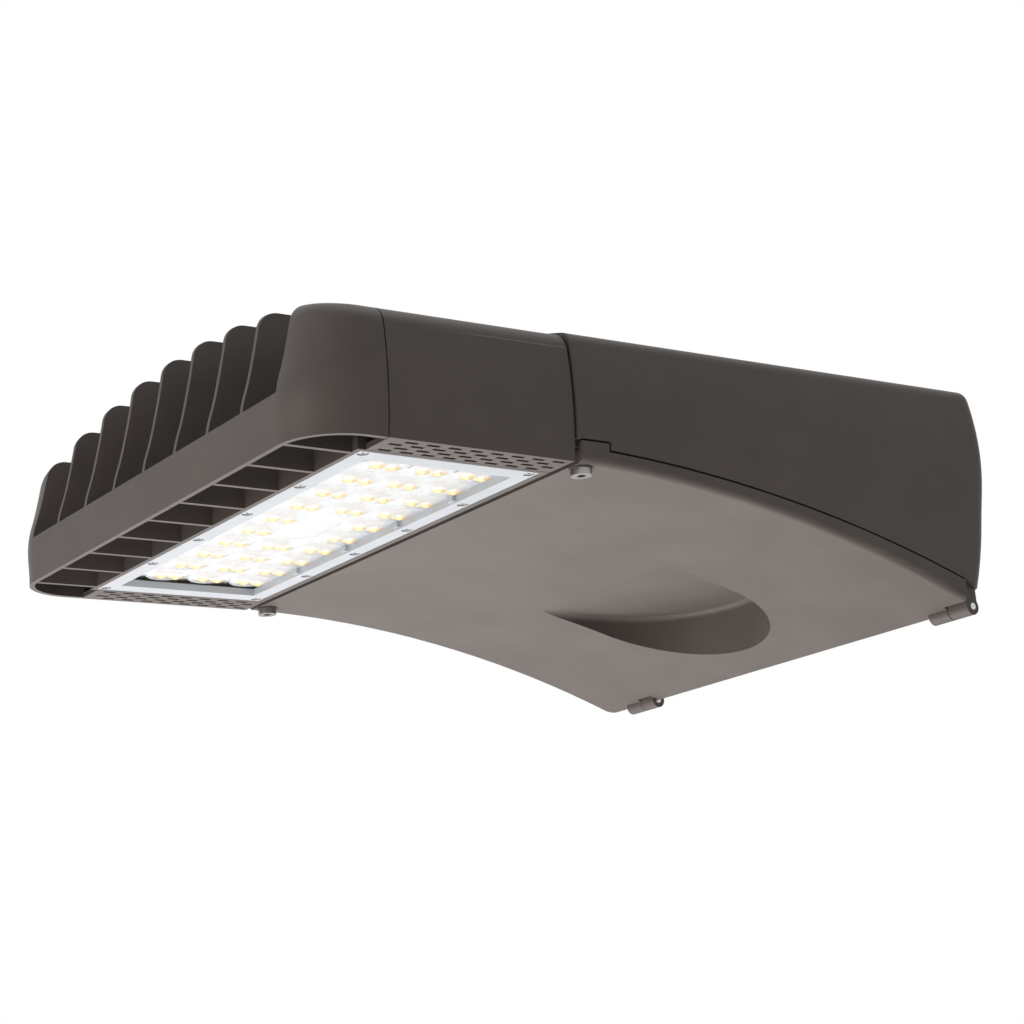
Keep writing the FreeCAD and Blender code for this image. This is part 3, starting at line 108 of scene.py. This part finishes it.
class Wire:
    """A shader socket that can be used in sums."""

    def __init__(self, finish, socket):
        self.finish = finish
        self.socket = socket

    def math(self, operation, *values):
        return self.finish.node("ShaderNodeMath", {"operation": operation}, dict(enumerate(values)))

    def __add__(self, other):
        return self.math("ADD", self, other)

    __radd__ = __add__

    def __sub__(self, other):
        return self.math("SUBTRACT", self, other)

    def __rsub__(self, other):
        return self.math("SUBTRACT", other, self)

    def __mul__(self, other):
        return self.math("MULTIPLY", self, other)

    __rmul__ = __mul__

    def __truediv__(self, other):
        return self.math("DIVIDE", self, other)

    def __rtruediv__(self, other):
        return self.math("DIVIDE", other, self)

    def __abs__(self):
        return self.math("ABSOLUTE", self)

    def below(self, limit):
        return self.math("LESS_THAN", self, limit)

    def least(self, other):
        return self.math("MINIMUM", self, other)

    def wrapped(self, half):
        return self.math("WRAP", self, half, -half)

    def eased(self, low, high):
        """0 at low, 1 at high, smooth between."""
        return self.finish.node("ShaderNodeMapRange", {"interpolation_type": "SMOOTHSTEP"},
                                {0: self, 1: low, 2: high, 3: 0.0, 4: 1.0})


class Finish:
    """One material: a Principled shader with constants, and what varies wired to it."""

    def __init__(self, name, color, roughness, **constants):
        self.material = bpy.data.materials.new(name)
        self.material.use_nodes = True
        self.material.diffuse_color = (*color, 1.0)
        self.tree = self.material.node_tree
        self.shader = self.tree.nodes["Principled BSDF"]
        self.shader.inputs["Base Color"].default_value = (*color, 1.0)
        self.shader.inputs["Roughness"].default_value = roughness
        for name, value in constants.items():
            self.shader.inputs[name.replace("_", " ")].default_value = value

    def node(self, kind, settings, values, output=0):
        """Adds a node to this material and gives one of its outputs."""
        return Wire(self, add_node(self.tree, kind, settings, values).outputs[output])

    def place(self):
        return self.node("ShaderNodeTexCoord", {}, {}, "Object")

    def axes(self):
        split = add_node(self.tree, "ShaderNodeSeparateXYZ", {}, {0: self.place()})
        return [Wire(self, socket) for socket in split.outputs]

    def noise(self, scale, detail=2.0, rough=0.5, stretch=None):
        place = self.place()
        if stretch:
            place = self.node("ShaderNodeMapping", {}, {"Vector": place, "Scale": stretch})
        return self.node("ShaderNodeTexNoise", {}, {"Vector": place, "Scale": scale, "Detail": detail,
                                                    "Roughness": rough})

    def mixed(self, factor, first, second):
        """A colour between two, by a mask."""
        low, high = [value if isinstance(value, Wire) else (*value, 1.0) for value in (first, second)]
        return self.node("ShaderNodeMix", {"data_type": "RGBA"}, {"Factor": factor, 6: low, 7: high}, 2)

    def feed(self, name, wire):
        self.tree.links.new(wire.socket, self.shader.inputs[name])

    def bump(self, height, strength, distance, under=None):
        return self.node("ShaderNodeBump", {}, {"Strength": strength, "Distance": distance, "Height": height,
                                                "Normal": under})


def shaded(color, factor):
    return tuple(min(1.0, part * factor) for part in color)


def powder_coat(name, color):
    """Textured powder paint: a fine sandy grain over a slow wave, slightly uneven in tone."""
    made = Finish(name, color, 0.5, Specular_IOR_Level=0.3)
    grain = made.noise(2600.0, 2.0, 0.55)
    wave = made.noise(420.0, 2.0)
    cloud = made.noise(22.0, 3.0, 0.55)
    made.feed("Base Color", made.mixed(cloud.eased(0.3, 0.7), shaded(color, 0.93), shaded(color, 1.08)))
    made.feed("Roughness", grain * 0.16 + 0.42)
    made.feed("Normal", made.bump(grain * 0.7 + wave * 0.5, 0.22, 0.0002))
    return made.material


def moulded_rubber(name, color):
    made = Finish(name, color, 0.75, Specular_IOR_Level=0.35)
    bloom = made.noise(60.0, 3.0)
    grain = made.noise(1500.0, 1.0)
    made.feed("Base Color", made.mixed(bloom.eased(0.35, 0.75), color, shaded(color, 1.6)))
    made.feed("Roughness", bloom * 0.2 + 0.65)
    made.feed("Normal", made.bump(grain, 0.12, 0.0002))
    return made.material


def plain_metal(name, color, roughness, stretch=(1.0, 1.0, 1.0)):
    """Machined or plated metal: fine lines along one direction and uneven lustre."""
    made = Finish(name, color, roughness, Metallic=1.0)
    lines = made.noise(900.0, 3.0, 0.6, stretch)
    cloud = made.noise(120.0, 2.0)
    made.feed("Base Color", made.mixed(cloud.eased(0.3, 0.8), color, shaded(color, 0.86)))
    made.feed("Roughness", lines * 0.2 + (roughness - 0.08))
    made.feed("Normal", made.bump(lines, 0.06, 0.0001))
    return made.material


def moulded_plastic(name, color, roughness, coat=0.0):
    made = Finish(name, color, roughness, Specular_IOR_Level=0.5, Coat_Weight=coat, Coat_Roughness=0.12)
    grain = made.noise(1100.0, 2.0)
    cloud = made.noise(45.0, 2.0)
    made.feed("Base Color", made.mixed(cloud.eased(0.3, 0.7), shaded(color, 0.95), shaded(color, 1.04)))
    made.feed("Roughness", grain * 0.1 + (roughness - 0.05))
    made.feed("Normal", made.bump(grain, 0.05, 0.0001))
    return made.material


def dress(material, *names):
    """Puts a finish on carried-over CAD nodes."""
    for name in names:
        mesh = NODES[name].data
        mesh.materials.clear()
        mesh.materials.append(material)


# ------------------------------------------------------------------------------------------------
# surfaces
# ------------------------------------------------------------------------------------------------
def piece_from(name, points, faces, material, smooth=True):
    mesh = bpy.data.meshes.new(name)
    mesh.from_pydata(points.tolist(), [], faces.tolist())
    mesh.update()
    mesh.shade_smooth() if smooth else mesh.shade_flat()
    mesh.materials.append(material)
    made = bpy.data.objects.new(name, mesh)
    bpy.context.scene.collection.objects.link(made)
    return made


def grid_faces(rows, columns, round_=False, start=0):
    """Quads of a grid of points, rows by columns; round_ joins the last column to the first."""
    i, j = np.meshgrid(np.arange(rows - 1), np.arange(columns if round_ else columns - 1), indexing="ij")
    a = i * columns + j
    b = i * columns + (j + 1) % columns
    return np.stack([a, b, b + columns, a + columns], -1).reshape(-1, 4) + start


def crease(made, degrees):
    made.data.set_sharp_from_angle(angle=math.radians(degrees))


# ------------------------------------------------------------------------------------------------
# sizes and colours a user would change
# ------------------------------------------------------------------------------------------------
class OpticSizes(bpy.types.PropertyGroup):
    lens_height: bpy.props.FloatProperty(name="Lens height", description="Height of the two peaks of a lens",
                                         default=0.0021, unit="LENGTH")
    lens_skirt: bpy.props.FloatProperty(name="Lens skirt", description="Height of a lens's wide foot",
                                        default=0.0006, unit="LENGTH")
    peak_offset: bpy.props.FloatProperty(name="Peak offset", description="Distance of each peak from the LED",
                                         default=0.0048, unit="LENGTH")
    row_pitch: bpy.props.FloatProperty(name="Row pitch", description="Spacing of the LED rows",
                                       default=0.0275, unit="LENGTH")
    column_pitch: bpy.props.FloatProperty(name="Column pitch", description="Spacing of the LEDs in a row",
                                          default=0.0262, unit="LENGTH")


class PaintColours(bpy.types.PropertyGroup):
    coat: bpy.props.FloatVectorProperty(name="Powder coat", description="Dark bronze of the castings",
                                        subtype="COLOR", size=3, default=(0.098, 0.081, 0.073))
    # phosphor is also the colour of the painted refraction of each LED on the lens sheet
    phosphor: bpy.props.FloatVectorProperty(name="Phosphor", description="Yellow of the LEDs",
                                            subtype="COLOR", size=3, default=(0.86, 0.56, 0.19))
    lens: bpy.props.FloatVectorProperty(name="Lens", description="Tint of the clear lens sheet",
                                        subtype="COLOR", size=3, default=(0.93, 0.945, 0.96))


# ------------------------------------------------------------------------------------------------
# pieces
# ------------------------------------------------------------------------------------------------
class AREALIGHT_OT_castings(bpy.types.Operator):
    """Powder coat on the castings and covers"""
    bl_idname = "area_light.castings"
    bl_label = "Castings"

    def execute(self, context):
        coat = powder_coat("bronze_coat", tuple(context.scene.area_light_paint.coat))
        dress(coat, "heat_sink", "side_cover_left", "side_cover_right", "driver_housing", "door_pan")
        return {"FINISHED"}


class AREALIGHT_OT_lens_sheet(bpy.types.Operator):
    """Clear lens sheet. Its ends are scalloped: at each row the half length is 4.5 pitches plus a circle's
    half chord. Its lower face hangs below the sheet by a shallow round foot over each LED plus the sum of two
    Gaussian peaks, one each side of the LED; a low flat oval takes the place of the middle pair."""
    bl_idname = "area_light.lens_sheet"
    bl_label = "Lens sheet"

    def execute(self, context):
        sizes = context.scene.area_light_optic
        low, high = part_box("lens_array")
        across = np.linspace(low.x, high.x, SHEET_ROWS)
        along = np.linspace(-1.0, 1.0, SHEET_COLUMNS)
        x, t = np.meshgrid(across, along, indexing="ij")
        row = np.clip(np.round((x - ROW_CENTRE) / sizes.row_pitch), -1, 1)
        dx = x - ROW_CENTRE - row * sizes.row_pitch
        lobe = np.sqrt(np.maximum(SCALLOP_RADIUS ** 2 - dx ** 2, 0.0))
        straight = sizes.column_pitch * OUTER_PITCHES
        y = t * (straight + lobe)
        column = np.clip(np.round(np.abs(y) / sizes.column_pitch - 0.5) + 0.5, 0.5, OUTER_PITCHES)
        column = column * np.sign(y + 1e-9)
        dy = y - column * sizes.column_pitch
        foot = np.maximum(1.0 - (dx ** 2 + dy ** 2) / FOOT_RADIUS ** 2, 0.0) ** 0.6 * sizes.lens_skirt
        fall = dy ** 2 / PEAK_LENGTH ** 2
        peaks = sum(np.exp(-((dx - s * sizes.peak_offset) ** 2 / PEAK_WIDTH ** 2 + fall)) for s in (1, -1))
        height = foot + np.minimum(peaks, 1.0) * sizes.lens_height
        blank = (row == 0) & (np.abs(y) < sizes.column_pitch)
        past = np.maximum(np.abs(y) - OVAL_REACH, 0.0)
        oval = np.maximum(1.0 - ((x - ROW_CENTRE) / OVAL_RADIUS) ** 2 - past ** 2 / OVAL_RADIUS ** 2, 0.0)
        height = np.where(blank, oval ** 0.5 * OVAL_HEIGHT, height)
        below = np.stack([x, y, high.z - SHEET_FRONT - height], -1).reshape(-1, 3)
        above = np.stack([x, y, np.full_like(x, high.z - SHEET_BACK)], -1).reshape(-1, 3)
        count = len(below)
        rows, columns = x.shape
        faces = np.vstack([grid_faces(rows, columns)[:, ::-1], grid_faces(rows, columns, start=count)])
        index = np.arange(count).reshape(rows, columns)
        loop = np.concatenate([index[0, :-1], index[:-1, -1], index[-1, :0:-1], index[:0:-1, 0]])
        after = np.roll(loop, -1)
        rim = np.stack([loop, after, after + count, loop + count], -1)
        faces = np.vstack([faces, rim])
        made = piece_from("lens_sheet", np.vstack([below, above]), faces, self.material(context))
        crease(made, CREASE_ANGLE)
        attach(made, "housing")
        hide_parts("lens_array")
        return {"FINISHED"}

    def material(self, context):
        """Clear acrylic with the LEDs' yellow phosphor painted into both peaks of each lens, as a painted
        refraction of each LED.
        """
        sizes, paint = context.scene.area_light_optic, context.scene.area_light_paint
        made = Finish("clear_acrylic", tuple(paint.lens), 0.12, Specular_IOR_Level=0.6, Coat_Weight=0.6,
                      Coat_Roughness=0.05)
        x, y, _ = made.axes()
        dx = (x - ROW_CENTRE).wrapped(sizes.row_pitch / 2)
        dy = (y + sizes.column_pitch / 2).wrapped(sizes.column_pitch / 2)
        first = (dx - sizes.peak_offset) / PAINTED_IMAGE_WIDTH
        second = (dx + sizes.peak_offset) / PAINTED_IMAGE_WIDTH
        side = dy / PAINTED_IMAGE_LENGTH
        painted_image_spread = (first * first).least(second * second) + side * side
        blank = abs(x - ROW_CENTRE).below(sizes.row_pitch / 2) * abs(y).below(sizes.column_pitch)
        ends = abs(y).below(sizes.column_pitch * (OUTER_PITCHES + 0.5))
        # painted refraction: yellow phosphor painted round both peaks of each lens, made more opaque there,
        # where the lens would show the LED
        painted_led_image = (1 - painted_image_spread.eased(0.35, 1.25)) * (1 - blank) * ends
        cloud = made.noise(260.0, 2.0)
        tint = made.mixed(cloud.eased(0.3, 0.7), shaded(paint.lens, 0.93), shaded(paint.lens, 1.03))
        made.feed("Base Color", made.mixed(painted_led_image, tint, tuple(paint.phosphor)))
        made.feed("Alpha", painted_led_image * 0.35 + 0.55)
        made.feed("Roughness", cloud * 0.1 + 0.08)
        return made.material


class AREALIGHT_OT_leds(bpy.types.Operator):
    """White LED packages, each with a round silicone dome over its phosphor"""
    bl_idname = "area_light.leds"
    bl_label = "LEDs"

    def execute(self, context):
        sizes, paint = context.scene.area_light_optic, context.scene.area_light_paint
        made = Finish("led_package", PACKAGE, 0.4, Specular_IOR_Level=0.5)
        x, y, _ = made.axes()
        dx = (x - ROW_CENTRE).wrapped(sizes.row_pitch / 2)
        dy = (y + sizes.column_pitch / 2).wrapped(sizes.column_pitch / 2)
        inside = 1 - (dx * dx + dy * dy).eased(DOME_INNER ** 2, DOME_OUTER ** 2)
        made.feed("Base Color", made.mixed(inside, PACKAGE, tuple(paint.phosphor)))
        made.feed("Roughness", 0.45 - inside * 0.25)
        dress(made.material, "leds")
        return {"FINISHED"}


class AREALIGHT_OT_light_engine(bpy.types.Operator):
    """Board, thermal pad, connector, terminal block and optic frame"""
    bl_idname = "area_light.light_engine"
    bl_label = "Light engine"

    def execute(self, context):
        board = Finish("white_board", (0.86, 0.86, 0.84), 0.35, Specular_IOR_Level=0.5)
        grain = board.noise(900.0, 2.0)
        tracks = board.node("ShaderNodeTexBrick", {"offset": 0.5}, {
            "Vector": board.place(), "Color1": (0.9, 0.9, 0.88, 1.0), "Color2": (0.86, 0.87, 0.85, 1.0),
            "Mortar": (0.78, 0.79, 0.77, 1.0), "Scale": 76.0, "Mortar Size": 0.03, "Brick Width": 1.0,
            "Row Height": 0.5})
        board.feed("Base Color", tracks)
        board.feed("Roughness", grain * 0.1 + 0.3)
        dress(board.material, "led_board")
        dress(moulded_plastic("grey_plastic", (0.44, 0.46, 0.49), 0.3, 0.5), "optic_frame")
        dress(moulded_plastic("white_plastic", (0.8, 0.8, 0.77), 0.45), "board_connector", "terminal_block")
        dress(moulded_rubber("thermal_sheet", (0.3, 0.31, 0.33)), "thermal_pad")
        return {"FINISHED"}


class AREALIGHT_OT_hardware(bpy.types.Operator):
    """Screws, pins, plates and washers"""
    bl_idname = "area_light.hardware"
    bl_label = "Hardware"

    def execute(self, context):
        stainless = plain_metal("stainless_steel", (0.62, 0.61, 0.6), 0.3)
        zinc = plain_metal("zinc_steel", (0.66, 0.67, 0.68), 0.38, (1.0, 6.0, 1.0))
        captive = plain_metal("captive_steel", (0.3, 0.29, 0.28), 0.3)
        dress(stainless, "side_cover_screws", "board_screws", "optic_screws")
        dress(stainless, "hinge_pin_left", "hinge_pin_right")
        dress(stainless, "retaining_washer_left", "retaining_washer_right")
        dress(captive, "captive_screw_left", "captive_screw_right")
        dress(zinc, "joint_screws", "backing_plate", "plate_screws", "gear_tray", "tray_screws")
        dress(zinc, "led_driver_screws", "surge_protector_screws", "terminal_block_screws")
        dress(moulded_plastic("green_steel", (0.03, 0.26, 0.07), 0.4), "ground_screw")
        return {"FINISHED"}


class AREALIGHT_OT_gear(bpy.types.Operator):
    """Driver, surge protector and leads"""
    bl_idname = "area_light.gear"
    bl_label = "Gear"

    def execute(self, context):
        dress(plain_metal("driver_case", (0.7, 0.7, 0.7), 0.45, (8.0, 1.0, 1.0)), "led_driver")
        dress(moulded_plastic("black_plastic", (0.03, 0.03, 0.033), 0.45), "surge_protector")
        dress(moulded_plastic("red_insulation", (0.5, 0.03, 0.025), 0.4), "output_leads")
        dress(moulded_plastic("black_insulation", (0.025, 0.025, 0.025), 0.4), "input_leads")
        dress(moulded_plastic("white_insulation", (0.8, 0.8, 0.78), 0.4), "surge_leads")
        return {"FINISHED"}


class AREALIGHT_OT_seals(bpy.types.Operator):
    """Gaskets, grommet and bushing"""
    bl_idname = "area_light.seals"
    bl_label = "Seals"

    def execute(self, context):
        rubber = moulded_rubber("black_rubber", (0.02, 0.02, 0.021))
        dress(rubber, "optic_gasket", "seam_gasket", "wire_grommet", "entry_bushing", "door_gasket")
        return {"FINISHED"}


def whiten(tree, plain):
    """Shows pure white to the camera, glossy and transmission rays; other rays meet the plain shader."""
    rays = add_node(tree, "ShaderNodeLightPath", {}, {}).outputs
    factor = rays["Is Camera Ray"]
    for name in ("Is Glossy Ray", "Is Transmission Ray"):
        most = add_node(tree, "ShaderNodeMath", {"operation": "MAXIMUM"}, {0: factor, 1: rays[name]})
        factor = most.outputs[0]
    out = next(node for node in tree.nodes if node.type in ("OUTPUT_WORLD", "OUTPUT_MATERIAL"))
    kind = "ShaderNodeBackground" if out.type == "OUTPUT_WORLD" else "ShaderNodeEmission"
    bright = add_node(tree, kind, {}, {"Color": WHITE, "Strength": 1.0})
    mix = add_node(tree, "ShaderNodeMixShader", {}, {0: factor, 1: plain, 2: bright.outputs[0]})
    tree.links.new(mix.outputs[0], out.inputs[0])


class AREALIGHT_OT_stage(bpy.types.Operator):
    """Pale floor, soft studio light and the camera"""
    bl_idname = "area_light.stage"
    bl_label = "Stage"

    def execute(self, context):
        scene = context.scene
        scene.view_settings.view_transform = "Standard"
        world = bpy.data.worlds.new("studio")
        scene.world = world
        world.use_nodes = True
        tree = world.node_tree
        tree.nodes.clear()
        add_node(tree, "ShaderNodeOutputWorld", {}, {})
        soft = add_node(tree, "ShaderNodeBackground", {}, {"Color": WHITE, "Strength": SOFT_LIGHT})
        whiten(tree, soft.outputs[0])

        floor_paint = Finish("pale_floor", (0.86, 0.86, 0.86), 0.9, Specular_IOR_Level=0.1)
        angle = np.linspace(0.0, 2 * np.pi, FLOOR_CORNERS, endpoint=False)
        level = np.full(FLOOR_CORNERS, FLOOR_Z)
        points = np.stack([FLOOR_RADIUS * np.cos(angle), FLOOR_RADIUS * np.sin(angle), level], -1)
        disc = np.arange(FLOOR_CORNERS).reshape(1, -1)
        floor = piece_from("floor", points, disc, floor_paint.material, False)
        whiten(floor_paint.tree, floor_paint.shader.outputs[0])

        for lamp in LAMPS:
            self.lamp(*lamp)

        data = bpy.data.cameras.new("camera")
        data.sensor_width = SENSOR_WIDTH
        data.lens = LENS_LENGTH
        camera = bpy.data.objects.new("camera", data)
        scene.collection.objects.link(camera)
        turn = Matrix((CAMERA_RIGHT, CAMERA_UP, CAMERA_BACK)).transposed()
        camera.matrix_world = Matrix.LocRotScale(Vector(CAMERA_PLACE), turn.to_quaternion(), None)
        scene.camera = camera
        return {"FINISHED"}

    def lamp(self, name, place, target, size, power):
        data = bpy.data.lights.new(name, "AREA")
        data.shape = "DISK"
        data.size = size
        data.energy = power
        made = bpy.data.objects.new(name, data)
        made.location = place
        made.rotation_mode = "QUATERNION"
        made.rotation_quaternion = (Vector(target) - Vector(place)).to_track_quat("-Z", "Y")
        bpy.context.scene.collection.objects.link(made)


class AREALIGHT_PT_panel(bpy.types.Panel):
    """Lists the pieces of the area light"""
    bl_idname = "AREALIGHT_PT_panel"
    bl_label = "Area Light"
    bl_space_type = "VIEW_3D"
    bl_region_type = "UI"
    bl_category = "Area Light"

    def draw(self, context):
        for group in (context.scene.area_light_optic, context.scene.area_light_paint):
            for name in group.__annotations__:
                self.layout.prop(group, name)
        for operator in OPERATORS:
            self.layout.operator(operator.bl_idname)


OPERATORS = (AREALIGHT_OT_castings, AREALIGHT_OT_lens_sheet, AREALIGHT_OT_leds, AREALIGHT_OT_light_engine,
             AREALIGHT_OT_hardware, AREALIGHT_OT_gear, AREALIGHT_OT_seals, AREALIGHT_OT_stage)
CLASSES = (OpticSizes, PaintColours, *OPERATORS, AREALIGHT_PT_panel)


def register():
    for made in CLASSES:
        bpy.utils.register_class(made)
    bpy.types.Scene.area_light_optic = bpy.props.PointerProperty(type=OpticSizes)
    bpy.types.Scene.area_light_paint = bpy.props.PointerProperty(type=PaintColours)


def unregister():
    del bpy.types.Scene.area_light_optic
    del bpy.types.Scene.area_light_paint
    for made in reversed(CLASSES):
        bpy.utils.unregister_class(made)


def main():
    register()
    bpy.ops.area_light.castings()
    bpy.ops.area_light.lens_sheet()
    bpy.ops.area_light.leds()
    bpy.ops.area_light.light_engine()
    bpy.ops.area_light.hardware()
    bpy.ops.area_light.gear()
    bpy.ops.area_light.seals()
    bpy.ops.area_light.stage()


if __name__ == "__main__":
    main()
